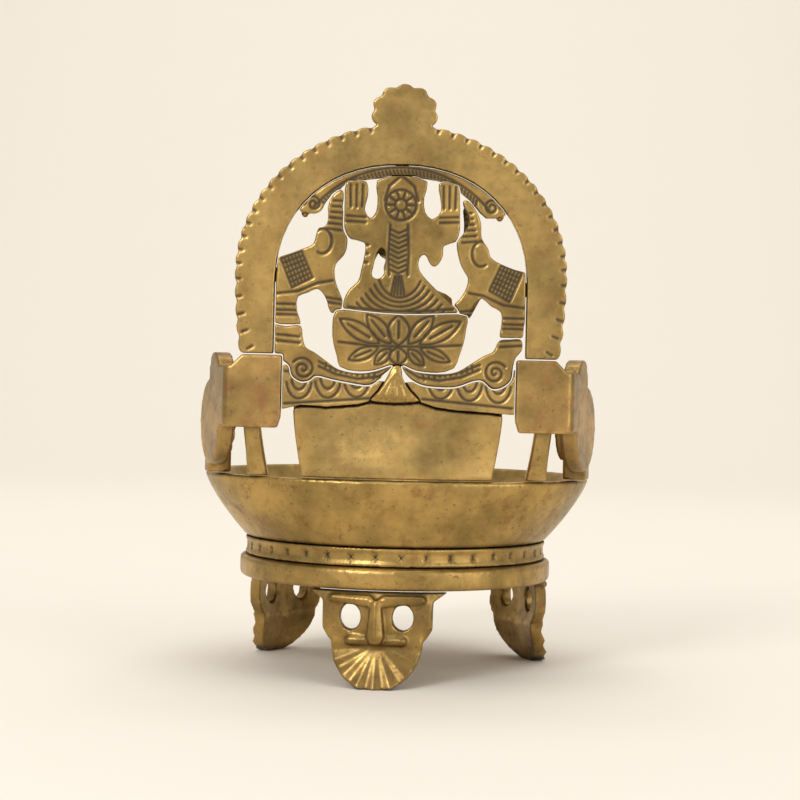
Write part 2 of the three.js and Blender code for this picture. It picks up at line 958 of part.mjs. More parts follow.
function baseScroll(side) {
  const sign = side === "left" ? -1 : 1;
  const body = slab(scrollOutline[side](), plaqueFront, plaqueSetback);
  const [curlX, curlY] = fit(sign * 22, 9);
  const curl = spiral(curlX, curlY, 2.3, sign);
  const spine = [
    fit(sign * 18.6, 10.3),
    fit(sign * 14.4, 7.6),
    fit(sign * 9.4, 6.9),
    fit(sign * 4.8, 7.4),
  ];
  const ridges = spine.slice(1).map(([x, y], i) => {
    const [px, py] = spine[i];
    return limb([px, py, plaqueFront], [x, y, plaqueFront], 0.9, 0.9, 0.8, 8);
  });
  const bracket = bracketOutline().map(([x, y]) => [sign * x, y]);
  const bracketTool = cutter(bracket, plaqueFront - 4, beamRear);
  return largest(cut(join([body, curl, ...ridges]), [...archTools(), bracketTool]));
}

function lotusSeat() {
  const body = slab(lotusOutline(), plaqueFront, plaqueSetback);
  const petal = (x, y, lean, length, width, depth) => {
    const a = THREE.MathUtils.degToRad(lean);
    const [px, py] = fit(x, y);
    const shape = new THREE.SphereGeometry(1, 8, 5).rotateX(Math.PI / 2);
    const placed = shape.scale(width, length, depth).rotateZ(-a).translate(px, py, plaqueFront - 0.2);
    return solidOf(placed);
  };
  const upper = [-2, -1, 0, 1, 2].map((k) => petal(-0.2 + 5.2 * k, 17.8, 16 * k, 4, 2.7, 2.6));
  const lower = [-2, -1, 0, 1, 2].map((k) => petal(-0.2 + 4.7 * k, 11.9, 180 - 13 * k, 2.6, 2.2, 2));
  const whole = join([body, ...upper, ...lower]);
  return cut(whole, [...scrollTools(), apronTool(), behindPlaque()]);
}

function goddess() {
  const front = plaqueFront;
  const at = (x, y, out) => [...fit(x, y), front - out];
  const armHole = slab(armOpening(), front - 1, plaqueSetback + 1);
  const body = slab(goddessOutline(), front, plaqueSetback).subtract(armHole);
  const head = ball(at(-0.3, 46.8, 1.5), [3.3, 4.1, 2.9]);
  const neck = limb(at(-0.3, 41, 0.8), at(-0.3, 43.6, 1.2), 1.7, 1.6, 1, 8);
  const crownProfile = [
    [0, 0],
    [3.5, 0],
    [3.1, 1.4],
    [3, 3.2],
    [2.3, 6.2],
    [1.3, 8.6],
    [1, 9.6],
    [0.6, 10.6],
    [0, 11],
  ].map(([r, y]) => new THREE.Vector2(r, y));
  const [crownX, crownY] = fit(-0.3, 48.6);
  const crownShape = new THREE.LatheGeometry(crownProfile, 12).scale(1, 1, 0.75);
  const crown = solidOf(crownShape.translate(crownX, crownY, front - 1.3));
  const chest = ball(at(-0.4, 37.4, 0.8), [5.6, 4, 3]);
  const waist = ball(at(-0.5, 32.4, 0.6), [3.7, 4.4, 2.6]);
  const arms = [
    limb(at(-5.2, 39, 0.8), at(-10.4, 41.4, 0.4), 1.7, 1.4),
    limb(at(-10.4, 41.4, 0.4), at(-10.8, 46.4, 0.6), 1.4, 1.1),
    limb(at(4.6, 39, 0.8), at(10.3, 41.4, 0.4), 1.7, 1.4),
    limb(at(10.3, 41.4, 0.4), at(10.6, 46.4, 0.6), 1.4, 1.1),
    limb(at(-5.8, 38.4, 1.2), at(-8, 32.6, 1.6), 1.5, 1.2),
    limb(at(-8, 32.6, 1.6), at(-8.6, 28.2, 2.4), 1.2, 1),
    limb(at(5.2, 38.4, 1.2), at(7.6, 34.6, 1.8), 1.5, 1.2),
    limb(at(7.6, 34.6, 1.8), at(7, 38.6, 3), 1.2, 0.9),
  ];
  const buds = [
    ball(at(-10.7, 49.2, 0.8), [1.9, 2.6, 1.7], 10, 6),
    ball(at(10.4, 49.2, 0.8), [1.9, 2.6, 1.7], 10, 6),
    ball(at(7.2, 40.2, 3), [1.3, 1.7, 1], 8, 6),
  ];
  const legs = [
    limb(at(-2.4, 27, 1.4), at(-9.6, 24.8, 1.6), 3, 2.4, 0.9),
    limb(at(2, 27, 1.4), at(9.8, 24.8, 1.6), 3, 2.4, 0.9),
    limb(at(-9.4, 24.2, 2), at(1.6, 23.2, 2.8), 1.8, 1.4, 0.9),
    limb(at(9.6, 24.2, 2), at(3, 23.6, 2.2), 1.8, 1.3, 0.9),
  ];
  const relief = join([head, neck, crown, chest, waist, ...arms, ...buds, ...legs]);
  const overArch = box(-80, 80, openingTop * 0.945, 120, front - 1.4, farBehind);
  const lotus = cutter(lotusOutline(), front - 3.4, plaqueSetback);
  return largest(cut(join([body, cut(relief, [overArch])]), [lotus, ...archTools(), behindPlaque()]));
}

function elephant(side) {
  const sign = side === "left" ? -1 : 1;
  const front = plaqueFront;
  const lift = side === "left" ? 0 : -2.2;
  const at = (x, y, out) => [...fit(sign * x, y + lift), front - out];
  const body = slab(elephantOutline[side](), front, plaqueSetback);
  const relief = join([
    limb(at(26.4, 30.4, 0.2), at(19.4, 33, 0.4), 3.4, 3.1, 0.85),
    ball(at(16.6, 37.4, 0.8), [2.8, 3.1, 2.7], 12, 8),
    ball(at(18.6, 38.4, 1.6), [1.5, 2.3, 1.2], 10, 6),
    limb(at(15.6, 39.4, 0.6), at(15.2, 45.2, 0.4), 1.7, 1.1),
    limb(at(15.2, 45.2, 0.4), at(14.6, 48.2, 0.3), 1.1, 0.8),
    limb(at(26.4, 29, 0), at(25.6, 20.8, 0), 2.1, 1.6),
    limb(at(17.6, 30.2, 0.4), at(15.2, 24.2, 0.2), 2, 1.3),
  ]);
  const neighbours = [
    cutter(goddessOutline(), front - 4, plaqueSetback),
    cutter(lotusOutline(), front - 4, plaqueSetback),
    ...scrollTools(),
    ...archTools(),
    box(-80, 80, -60, fit(0, side === "left" ? 18.6 : 16.6)[1] + seam, front - 6, farBehind),
  ];
  const kept = cut(join([body, relief]), [...neighbours, behindPlaque()]);
  return largest(kept);
}

// The biggest of the pieces that a cut leaves, without the slivers
function largest(solid) {
  const pieces = solid.decompose();
  return pieces.reduce((best, piece) => (piece.volume() > best.volume() ? piece : best));
}

function garland() {
  const body = slab(garlandOutline(), plaqueFront, plaqueSetback - 0.3);
  const curls = [-1, 1].map((sign) => {
    const [x, y] = fit(sign * 20.4, 46.7);
    return slab(ellipse(x, y, 2.3, 2.3, 16), plaqueFront, plaqueSetback - 0.3);
  });
  const beads = openingCurve(0.6, -1.7, 14).map(([x, y]) => ball([x, y, plaqueFront], [0.95, 0.95, 0.95], 6, 4));
  const rise = cutter(goddessOutline(), plaqueFront - 4, plaqueSetback);
  const elephants = ["left", "right"].map((side) => cutter(elephantOutline[side](), plaqueFront - 4, plaqueSetback));
  const crown = box(-4.2, 3.8, 40, 60, plaqueFront - 9, plaqueFront - seam);
  return largest(cut(join([body, ...curls, ...beads]), [rise, ...elephants, crown, ...archTools()]));
}

// Wings

function bracketOutline() {
  const low = -bracketDrop;
  const high = archFoot - seam;
  return [
    [bracketInner + 0.8, low],
    [bracketHalfWidth - wingThickness / 2, low],
    [bracketHalfWidth - wingThickness / 2, high - 2.6],
    [bracketHalfWidth - 4.4, high],
    [bracketInner, high],
    [bracketInner, low + 2.6],
  ];
}

// Built for the right side in the plaque's frame. A mirrored copy serves the left.
function wing(relief) {
  const flare = THREE.MathUtils.degToRad(wingFlare);
  const rear = plaqueSetback + beamProud;
  const plate = slab(bracketOutline(), rear - wingThickness, rear);
  const cornerX = bracketHalfWidth - wingThickness / 2;
  const cornerZ = rear - wingThickness / 2;
  const high = archFoot - seam - 2.6;
  const corner = new THREE.CylinderGeometry(wingThickness / 2, wingThickness / 2, high + bracketDrop, 16);
  const hinge = solidOf(corner.translate(cornerX, (high - bracketDrop) / 2, cornerZ));
  const centreY = -roundelDrop;
  const neck = [
    [0, -bracketDrop + 0.4],
    [roundelReach, -bracketDrop + 0.4],
    [roundelReach + 1, high],
    [0, high],
  ];
  const flame = rounded([
    [roundelReach - 9, centreY + roundelRadius * 0.5],
    [roundelReach - 8.6, centreY + flameHeight - 2.4],
    [roundelReach - 5, centreY + flameHeight],
    [roundelReach - 0.6, centreY + flameHeight - 0.6],
    [roundelReach + 0.4, centreY + roundelRadius * 0.6],
  ]);
  const half = wingThickness / 2;
  const seatHeight = -supportHeight + seam;
  const side = join([
    slab(neck, -half, half),
    slab(ellipse(roundelReach, centreY, roundelRadius, roundelRadius, 32), -half, half, { round: edgeRound }),
    slab(flame, -half, half),
    relief(roundelReach, centreY, -half),
    box(roundelReach + 2.6, roundelReach + 7, seatHeight, centreY - 4, -half - reliefDepth + 0.6, half - 0.6),
  ]);
  const along = new THREE.Vector3(Math.sin(flare), 0, -Math.cos(flare));
  const up = new THREE.Vector3(0, 1, 0);
  const out = along.clone().cross(up);
  const place = new THREE.Matrix4().makeBasis(along, up, out).setPosition(cornerX, 0, cornerZ);
  const placed = solidOf(geometryOf(side).applyMatrix4(place));
  return join([plate, hinge, placed]);
}

// Wheel with eight spokes, raised on the inner face
function wheelRelief(x, y, face) {
  const ring = slab(ellipse(x, y, 7.6, 7.6, 24), face - reliefDepth * 0.7, face + 0.5, {
    holes: [ellipse(x, y, 5.9, 5.9, 24)],
  });
  const spokes = Array.from({ length: 4 }, (_, k) => {
    const a = (k * Math.PI) / 4;
    const dx = 6.8 * Math.cos(a);
    const dy = 6.8 * Math.sin(a);
    return limb([x - dx, y - dy, face], [x + dx, y + dy, face], 0.8, 0.8, 1.2, 8);
  });
  const hub = ball([x, y, face], [2.4, 2.4, reliefDepth], 14, 8);
  return join([ring, ...spokes, hub]);
}

// Conch shell standing on its tip, raised on the inner face
function conchRelief(x, y, face) {
  const whorls = [
    [0, 5.6, 1.6, 1.2],
    [0, 3.4, 3.4, 2.1],
    [0.2, 0, 4.9, 3.2],
    [0.1, -3.2, 3.4, 3],
    [0, -6, 1.7, 2.4],
  ];
  return join(
    whorls.map(([dx, dy, wide, tall]) =>
      ball([x + dx, y + dy, face], [wide, tall, reliefDepth * (0.5 + wide / 10)], 12, 8),
    ),
  );
}

function mirrored(solid) {
  const geometry = geometryOf(solid).scale(-1, 1, 1);
  const p = geometry.attributes.position.array;
  for (let i = 0; i < p.length; i += 9) {
    for (let k = 0; k < 3; k++) [p[i + 3 + k], p[i + 6 + k]] = [p[i + 6 + k], p[i + 3 + k]];
  }
  return solidOf(geometry);
}

// Assembly

const lamp = new THREE.Group();

function add(parent, name, geometry, material = brass) {
  const mesh = new THREE.Mesh(geometry, material);
  mesh.name = name;
  parent.add(mesh);
  return mesh;
}

add(lamp, "oil_bowl", oilBowl());
add(lamp, "collar_band", collarBand());
add(lamp, "stand_plate", standPlate());

const footNames = ["rear_foot", "front_right_foot", "front_left_foot"];
const footShape = geometryOf(foot());
footNames.forEach((name, k) => {
  const holder = new THREE.Group();
  const turn = THREE.MathUtils.degToRad(-standTurn + (360 * k) / footCount);
  const outward = new THREE.Vector3(-Math.sin(turn), Math.cos(turn), 0);
  const up = new THREE.Vector3(0, 0, 1);
  const along = up.clone().cross(outward);
  holder.applyMatrix4(
    new THREE.Matrix4().makeBasis(along, up, outward).setPosition(outward.clone().multiplyScalar(standRadius)),
  );
  add(holder, name, footShape.clone(), darkBrass);
  lamp.add(holder);
});

// The plaque's frame: x to the right seen from behind, y up from the beam's underside, z to the back
const plaque = new THREE.Group();
plaque.applyMatrix4(
  new THREE.Matrix4()
    .makeBasis(new THREE.Vector3(-1, 0, 0), new THREE.Vector3(0, 0, 1), new THREE.Vector3(0, 1, 0))
    .setPosition(0, 0, beamUnderside),
);
lamp.add(plaque);

add(plaque, "support_plate", geometryOf(supportPlate()));
add(plaque, "left_post", geometryOf(post(-1)));
add(plaque, "right_post", geometryOf(post(1)));
add(plaque, "beam", geometryOf(beam()));
add(plaque, "apron", geometryOf(apron()));
add(plaque, "arch_frame", geometryOf(archFrame().add(archMoulding())));
add(plaque, "crest_palmette", geometryOf(crestPalmette()));
add(plaque, "garland", geometryOf(garland()));
add(plaque, "goddess", geometryOf(goddess()));
add(plaque, "lotus_seat", geometryOf(lotusSeat()));
add(plaque, "left_elephant", geometryOf(elephant("left")));
add(plaque, "right_elephant", geometryOf(elephant("right")));
add(plaque, "left_scroll", geometryOf(baseScroll("left")));
add(plaque, "right_scroll", geometryOf(baseScroll("right")));
add(plaque, "left_wing", geometryOf(mirrored(wing(conchRelief))));
add(plaque, "right_wing", geometryOf(wing(wheelRelief)));

// Origin under the middle of the lamp, on the surface that it stands on
const whole = new THREE.Box3().setFromObject(lamp);
lamp.position.set(-(whole.min.x + whole.max.x) / 2, -(whole.min.y + whole.max.y) / 2, -whole.min.z);

export default lamp;
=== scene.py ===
"""Looks of the cast brass lamp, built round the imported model. Metres, +Z up, plaque's back faces +Y."""
import json
import math

import bpy
import numpy as np
from mathutils import Matrix, Vector


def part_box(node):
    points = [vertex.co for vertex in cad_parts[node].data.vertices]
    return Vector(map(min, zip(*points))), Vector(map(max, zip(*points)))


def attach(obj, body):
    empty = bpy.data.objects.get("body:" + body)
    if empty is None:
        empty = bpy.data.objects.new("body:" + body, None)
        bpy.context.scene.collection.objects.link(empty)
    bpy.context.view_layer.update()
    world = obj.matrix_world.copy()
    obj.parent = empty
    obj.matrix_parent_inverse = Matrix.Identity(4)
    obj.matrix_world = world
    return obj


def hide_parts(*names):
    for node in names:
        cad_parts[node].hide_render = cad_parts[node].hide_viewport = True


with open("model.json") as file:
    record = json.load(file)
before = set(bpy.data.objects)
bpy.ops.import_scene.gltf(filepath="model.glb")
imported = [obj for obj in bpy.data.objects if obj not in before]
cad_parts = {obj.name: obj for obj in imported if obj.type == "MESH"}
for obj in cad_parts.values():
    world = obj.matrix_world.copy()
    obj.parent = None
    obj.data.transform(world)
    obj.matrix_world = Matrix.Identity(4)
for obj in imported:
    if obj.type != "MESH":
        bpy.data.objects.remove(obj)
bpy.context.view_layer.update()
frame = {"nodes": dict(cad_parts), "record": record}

MM = 0.001

# Lamp's own sizes, read from the frame
plate_low, plate_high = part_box("stand_plate")
axis = Vector(((plate_low.x + plate_high.x) / 2, (plate_low.y + plate_high.y) / 2, 0))

# Camera: behind the lamp, a little below its middle
CAMERA_DISTANCE = 0.475
CAMERA_HEIGHT = 0.070
CAMERA_PITCH = math.radians(0.45)
CAMERA_ROLL = math.radians(1.3)
CAMERA_ASIDE = -0.0004
LENS_MM = 85.5
SENSOR_MM = 36.0

# Mesh density of the castings, in metres
FINE = 0.00025
RING = 0.0003
MEDIUM = 0.00036
COARSE = 0.0006

# Brass: how fine each noise is, from broad tones to pits, and the patina
TONE_SCALE = 90
STAIN_SCALE = 210
SMEAR_SCALE = 320
GLOSS_SCALE = 420
BRUSH_SCALE = 700
SPECK_SCALE = 900
PIT_SCALE = 1500
BRUSH_STRETCH = 9.0
PATINA = (0.022, 0.014, 0.007)
PATINA_REACH = 2.2 * MM
BUMP_STRENGTH = 0.32
BUMP_DEPTH = 0.12 * MM

# Centres of the hair rosette, the garland's arcs and the arch, in the chasing's millimetres
ROSETTE_X, ROSETTE_Z = -0.4, 111.2
GARLAND_X = -0.2
ARCH_CENTRE = 95.5

# Flat faces round each turned casting in the frame
FACETS = 48


# Brass

def brass(name, light, dark, stain, stain_amount, patina_amount):
    """Aged cast brass: two tones, brown stains, black patina in the hollows, pits and brushing."""
    material = bpy.data.materials.new(name)
    material.use_nodes = True
    nodes = material.node_tree.nodes
    link = material.node_tree.links.new
    shader = nodes["Principled BSDF"]
    place = nodes.new("ShaderNodeTexCoord").outputs["Object"]

    def noise(scale, detail=6.0, rough=0.6):
        node = nodes.new("ShaderNodeTexNoise")
        node.inputs["Scale"].default_value = scale
        node.inputs["Detail"].default_value = detail
        node.inputs["Roughness"].default_value = rough
        link(place, node.inputs["Vector"])
        return node.outputs["Fac"]

    def ranged(value, low, high, out_low=0.0, out_high=1.0):
        node = nodes.new("ShaderNodeMapRange")
        node.inputs["From Min"].default_value = low
        node.inputs["From Max"].default_value = high
        node.inputs["To Min"].default_value = out_low
        node.inputs["To Max"].default_value = out_high
        link(value, node.inputs["Value"])
        return node.outputs["Result"]

    def maths(kind, first, second):
        node = nodes.new("ShaderNodeMath")
        node.operation = kind
        node.use_clamp = True
        for socket, value in zip(node.inputs, (first, second)):
            if isinstance(value, (int, float)):
                socket.default_value = value
            else:
                link(value, socket)
        return node.outputs["Value"]

    def mixed(amount, first, second):
        node = nodes.new("ShaderNodeMix")
        node.data_type = "RGBA"
        link(amount, node.inputs["Factor"])
        for socket, value in ((node.inputs["A"], first), (node.inputs["B"], second)):
            if isinstance(value, tuple):
                socket.default_value = (*value, 1)
            else:
                link(value, socket)
        return node.outputs["Result"]

    tone = ranged(noise(TONE_SCALE, 5), 0.38, 0.64)
    blotch = ranged(noise(STAIN_SCALE, 8, 0.7), 0.52, 0.68, 0, stain_amount)
    colour = mixed(tone, dark, light)
    colour = mixed(blotch, colour, stain)

    groove = nodes.new("ShaderNodeAttribute")
    groove.attribute_name = "groove"
    occlusion = nodes.new("ShaderNodeAmbientOcclusion")
    occlusion.samples = 8
    occlusion.inputs["Distance"].default_value = PATINA_REACH
    hollow = ranged(occlusion.outputs["AO"], 0.45, 0.92, 1.0, 0.0)
    speck = ranged(noise(SPECK_SCALE, 4), 0.6, 0.7, 0, 0.7)
    smear = ranged(noise(SMEAR_SCALE, 6), 0.4, 0.62, 0.55, 1.0)
    hidden = maths("MULTIPLY", maths("MULTIPLY", hollow, smear), patina_amount)
    grime = maths("MAXIMUM", groove.outputs["Fac"], hidden)
    grime = maths("MAXIMUM", grime, maths("MULTIPLY", speck, 0.7))
    colour = mixed(grime, colour, PATINA)
    link(colour, shader.inputs["Base Color"])

    link(ranged(grime, 0.0, 1.0, 1.0, 0.35), shader.inputs["Metallic"])
    rough = ranged(noise(GLOSS_SCALE, 6), 0.3, 0.7, 0.27, 0.46)
    link(maths("ADD", rough, maths("MULTIPLY", grime, 0.32)), shader.inputs["Roughness"])

    stretch = nodes.new("ShaderNodeMapping")
    stretch.inputs["Scale"].default_value = (1.0, 1.0, BRUSH_STRETCH)
    link(place, stretch.inputs["Vector"])
    brushing = nodes.new("ShaderNodeTexNoise")
    brushing.inputs["Scale"].default_value = BRUSH_SCALE
    brushing.inputs["Detail"].default_value = 5
    link(stretch.outputs["Vector"], brushing.inputs["Vector"])
    pits = noise(PIT_SCALE, 5, 0.65)
    height = maths("ADD", maths("MULTIPLY", brushing.outputs["Fac"], 0.35), maths("MULTIPLY", pits, 0.6))
    bump = nodes.new("ShaderNodeBump")
    bump.inputs["Strength"].default_value = BUMP_STRENGTH
    bump.inputs["Distance"].default_value = BUMP_DEPTH
    link(height, bump.inputs["Height"])
    link(bump.outputs["Normal"], shader.inputs["Normal"])
    return material


GOLD = (0.50, 0.325, 0.105)
OLIVE = (0.285, 0.19, 0.062)
RED_STAIN = (0.20, 0.085, 0.032)
materials = {
    "brass_bowl": brass("worn brass", GOLD, OLIVE, RED_STAIN, 0.55, 0.8),
    "brass_punched": brass("punched brass", GOLD, OLIVE, RED_STAIN, 0.45, 1.0),
    "brass_feet": brass("dark brass", (0.42, 0.27, 0.085), (0.2, 0.13, 0.045), RED_STAIN, 0.4, 1.0),
    "brass_plaque": brass("filed brass", (0.53, 0.35, 0.12), (0.32, 0.215, 0.075), RED_STAIN, 0.5, 0.9),
    "brass_relief": brass("chased brass", (0.50, 0.325, 0.105), (0.27, 0.18, 0.06), RED_STAIN, 0.35, 1.0),
    "brass_wing": brass("stained brass", (0.52, 0.33, 0.115), (0.29, 0.19, 0.068), (0.28, 0.11, 0.055), 0.6, 0.9),
}
slots = {part["node"]: part["material_slot"] for part in frame["record"]["subparts"]}


# Chasing: strokes on the plaque's back, in millimetres to the right seen from behind and above the ground

def arc(x, z, rx, rz, start, end, steps=14):
    """Points of a part of an ellipse, from one angle to another in degrees."""
    angles = np.radians(np.linspace(start, end, steps))
    return [(x + rx * math.cos(a), z + rz * math.sin(a)) for a in angles]


def line(*points):
    """A stroke through a few points."""
    return list(points)


def across(first, second, count, length):
    """Short ticks square to the way from one point to another."""
    (x0, z0), (x1, z1) = first, second
    size = math.hypot(x1 - x0, z1 - z0)
    nx, nz = -(z1 - z0) / size * length / 2, (x1 - x0) / size * length / 2
    ticks = []
    for i in range(count):
        t = (i + 0.5) / count
        x, z = x0 + (x1 - x0) * t, z0 + (z1 - z0) * t
        ticks.append([(x - nx, z - nz), (x + nx, z + nz)])
    return ticks


def goddess_strokes():
    """Crown line, hair rosette, plaited hair with its tassel, bangles, fingers and the lap's pleats."""
    strokes = [line((-4.1, 112.2), (-3.2, 115.5), (-0.4, 118), (2.6, 115.5), (3.5, 112.2))]
    for radius, steps in ((3.5, 26), (1.4, 14)):
        strokes.append(arc(ROSETTE_X, ROSETTE_Z, radius, radius, 0, 360, steps))
    for k in range(10):
        a = math.radians(36 * k)
        strokes.append([(ROSETTE_X + r * math.cos(a), ROSETTE_Z + r * math.sin(a)) for r in (1.5, 3.2)])
    strokes += [line((-2.7, 106.6), (-3, 100), (-2.8, 95.2)), line((1.3, 106.6), (1.6, 100), (1.4, 95.2))]
    for k in range(9):
        z = 105.6 - 1.15 * k
        strokes += [line((-2.6, z), (-0.7, z - 0.9)), line((-0.7, z - 0.9), (1.2, z))]
    for k in range(-2, 3):
        strokes.append(line((-0.7 + 0.35 * k, 94.9), (-0.7 + 0.75 * k, 90.6)))
    for side, hand in ((-1, -10.6), (1, 10.7)):
        strokes += [line((hand - 2.1, z), (hand + 2.1, z + 0.2 * side)) for z in (107.3, 108.5)]
        strokes += [line((hand + dx, 110.6), (hand + dx * 1.1, 115.6)) for dx in (-1.3, 0, 1.3)]
    strokes += across((-9, 103), (-9.2, 97), 3, 2.6)
    for k in range(7):
        drop = 1.05 * k
        strokes.append(arc(-0.3, 96.6 - drop, 5.2 + 1.1 * k, 6.6, 205, 335, 16))
    strokes.append(line((-12, 87.6), (-4, 86.9), (4, 86.9), (12, 87.6)))
    return strokes


def petal(base, tip, width):
    """A pointed petal: two bowed edges and a midrib."""
    (x0, z0), (x1, z1) = base, tip
    size = math.hypot(x1 - x0, z1 - z0)
    nx, nz = -(z1 - z0) / size, (x1 - x0) / size
    edges = []
    for side in (-1, 1):
        edge = []
        for k in range(11):
            t = k / 10
            bow = side * width / 2 * math.sin(math.pi * t) ** 0.8
            edge.append((x0 + (x1 - x0) * t + nx * bow, z0 + (z1 - z0) * t + nz * bow))
        edges.append(edge)
    rib = [(x0 + (x1 - x0) * t, z0 + (z1 - z0) * t) for t in (0.25, 0.8)]
    return edges + [rib]


def lotus_strokes():
    """Two rows of petals that spread from a bud in the middle."""
    strokes = [line((-14, 79.6), (-7, 78.9), (0, 78.8), (7, 78.9), (14, 79.4))]
    strokes += petal((-0.3, 79), (-0.3, 86), 5) + petal((-0.3, 78.6), (-0.3, 74.6), 4)
    for s in (-1, 1):
        strokes += petal((s * 2, 79.4), (s * 7.6, 86), 3.6) + petal((s * 4.6, 79.4), (s * 13.8, 84.8), 3.6)
        strokes += petal((s * 2, 78.2), (s * 5.6, 74.6), 2.6) + petal((s * 4.8, 78.5), (s * 11.6, 75.6), 2.6)
    return strokes


def elephant_strokes(side):
    """Saddle cloth with its hatching, ear, trunk rings, anklets and the line of the belly."""
    s = -1 if side == "left" else 1
    lift = 0 if side == "left" else -2.2

    def at(x, z):
        return (s * x, z + lift)

    cloth = [at(27.6, 98.4), at(22.9, 100.1), at(20.3, 94.2), at(24.9, 91.8), at(27.6, 98.4)]
    strokes = [cloth]
    for k in range(1, 6):
        t = k / 6
        strokes.append([at(27.6 - 2.7 * t, 98.4 - 6.6 * t), at(22.9 - 2.6 * t, 100.1 - 5.9 * t)])
        strokes.append([at(27.6 - 4.7 * t, 98.4 + 1.7 * t), at(24.9 - 4.6 * t, 91.8 + 2.4 * t)])
    strokes.append([at(x, z) for x, z in arc(18.2, 102.6, 2.1, 2.9, 60, 300, 14)])
    strokes += [[at(17.1 - 0.25 * k, 105.4 + 1.3 * k), at(13.8, 105.1 + 1.35 * k)] for k in range(6)]
    strokes += [[at(23.7, z), at(28.6, z)] for z in (85.6, 86.6, 88)]
    strokes += [[at(13.5, z), at(17.2, z + 0.5)] for z in (88.2, 89.2)]
    strokes.append([at(x, z) for x, z in ((15.6, 93.6), (19, 93), (23.5, 91), (28.6, 90.4))])
    return strokes


def scroll_strokes(side):
    """Spiral at the end of the scroll and two lines that follow its back."""
    s = -1 if side == "left" else 1
    turns = np.linspace(0, 3.6 * math.pi, 44)
    spiral = [
        (s * (22 + (2.7 - 0.22 * t) * math.cos(t + 0.6)), 73.2 + (2.7 - 0.22 * t) * math.sin(t + 0.6))
        for t in turns
    ]
    low = [(s * 18.4, 73.9), (s * 14.4, 72.1), (s * 9.4, 71.2), (s * 4.6, 71.8), (s * 1.6, 73.6)]
    high = [(x, z + 1.1) for x, z in low]
    ribs = across((s * 17.4, 74.1), (s * 5, 71.9), 10, 1.5)
    cuffs = [line((s * 23, z), (s * 28, z + 0.4)) for z in (79.2, 80.6)]
    return [spiral, low, high] + ribs + cuffs


def beam_strokes():
    """Hanging folds on both sides of the apron."""
    strokes = []
    for s in (-1, 1):
        for k in range(3):
            strokes.append(arc(s * (9.6 + 6.6 * k), 71.4 - 0.3 * k, 2.9, 4.4, 190, 350, 12))
            strokes.append(arc(s * (9.6 + 6.6 * k), 71.8 - 0.3 * k, 1.7, 2.7, 190, 350, 10))
        strokes.append(line((s * 5.5, 72.2), (s * 26, 72.6)))
        strokes.append(line((s * 5.5, 66.9), (s * 26, 65.2)))
    return strokes


def garland_strokes():
    """Fine ticks that lean along the band under the arch, between two border lines."""
    strokes = [
        arc(GARLAND_X, 93.4, 26.2, 26.4, 140, 40, 34),
        arc(GARLAND_X, 92.4, 24.4, 24.6, 133, 47, 34),
    ]
    lean = 0.03
    for a in np.radians(np.linspace(47, 133, 46)):
        strokes.append([
            (GARLAND_X + 24.3 * math.cos(a), 92.6 + 24.3 * math.sin(a)),
            (GARLAND_X + 26 * math.cos(a + lean), 93.2 + 26 * math.sin(a + lean)),
        ])
    for s in (-1, 1):
        curl = []
        for t in np.linspace(0, 3 * math.pi, 28):
            radius = 1.9 - 0.16 * t
            curl.append((s * (20.4 + radius * math.cos(t)), 111.1 + radius * math.sin(t)))
        strokes.append(curl)
    return strokes


def arch_strokes():
    """File marks round the arch's edge. The legs below its centre are longer and straighter."""
    strokes = []
    for a in np.radians(np.linspace(-24, 78, 20)):
        leg = a < 0
        stretch = 1.28 if leg else 1.0
        mark = []
        for half_width, rise, leg_width in ((36.9, 33.1, 0.88), (38.2, 34.4, 0.9)):
            share = max(math.cos(a), leg_width if leg else 0)
            mark.append((half_width * share, ARCH_CENTRE + rise * stretch * math.sin(a)))
        for s in (-1, 1):
            strokes.append([(s * x, z) for x, z in mark])
    return strokes


chasing = {
    "goddess": goddess_strokes(),
    "lotus_seat": lotus_strokes(),
    "left_elephant": elephant_strokes("left"),
    "right_elephant": elephant_strokes("right"),
    "left_scroll": scroll_strokes("left"),
    "right_scroll": scroll_strokes("right"),
    "beam": beam_strokes(),
    "garland": garland_strokes(),
    "arch_frame": arch_strokes(),
}


# Castings

def refined(node, voxel, smoothing):
    """A rounded copy of a CAD solid, dense enough to carry chasing. It takes the solid's place."""
    source = frame["nodes"][node]
    mesh = source.data.copy()
    piece = bpy.data.objects.new(node + "_casting", mesh)
    bpy.context.scene.collection.objects.link(piece)
    remesh = piece.modifiers.new("remesh", "REMESH")
    remesh.mode = "VOXEL"
    remesh.voxel_size = voxel
    smooth = piece.modifiers.new("smooth", "SMOOTH")
    smooth.factor = 0.5
    smooth.iterations = smoothing
    evaluated = piece.evaluated_get(bpy.context.evaluated_depsgraph_get())
    piece.data = bpy.data.meshes.new_from_object(evaluated)
    piece.modifiers.clear()
    piece.data.name = node + "_casting"
    piece.data.materials.clear()
    piece.data.materials.append(materials[slots[node]])
    for polygon in piece.data.polygons:
        polygon.use_smooth = True
    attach(piece, "root")
    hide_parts(node)
    return piece


def read_points(mesh):
    """The mesh's vertices as an array."""
    points = np.empty(len(mesh.vertices) * 3)
    mesh.vertices.foreach_get("co", points)
    return points.reshape(-1, 3)


def read_normals(mesh):
    """The mesh's vertex normals as an array."""
    normals = np.empty(len(mesh.vertices) * 3, np.float32)
    mesh.vertex_normals.foreach_get("vector", normals)
    return normals.reshape(-1, 3)


def write_points(mesh, points, mark):
    """Moves the vertices and keeps how deep each one was cut, for the patina."""
    mesh.vertices.foreach_set("co", points.ravel())
    attribute = mesh.attributes.new("groove", "FLOAT", "POINT")
    attribute.data.foreach_set("value", np.clip(mark, 0, 1).astype(np.float32))
    mesh.update()


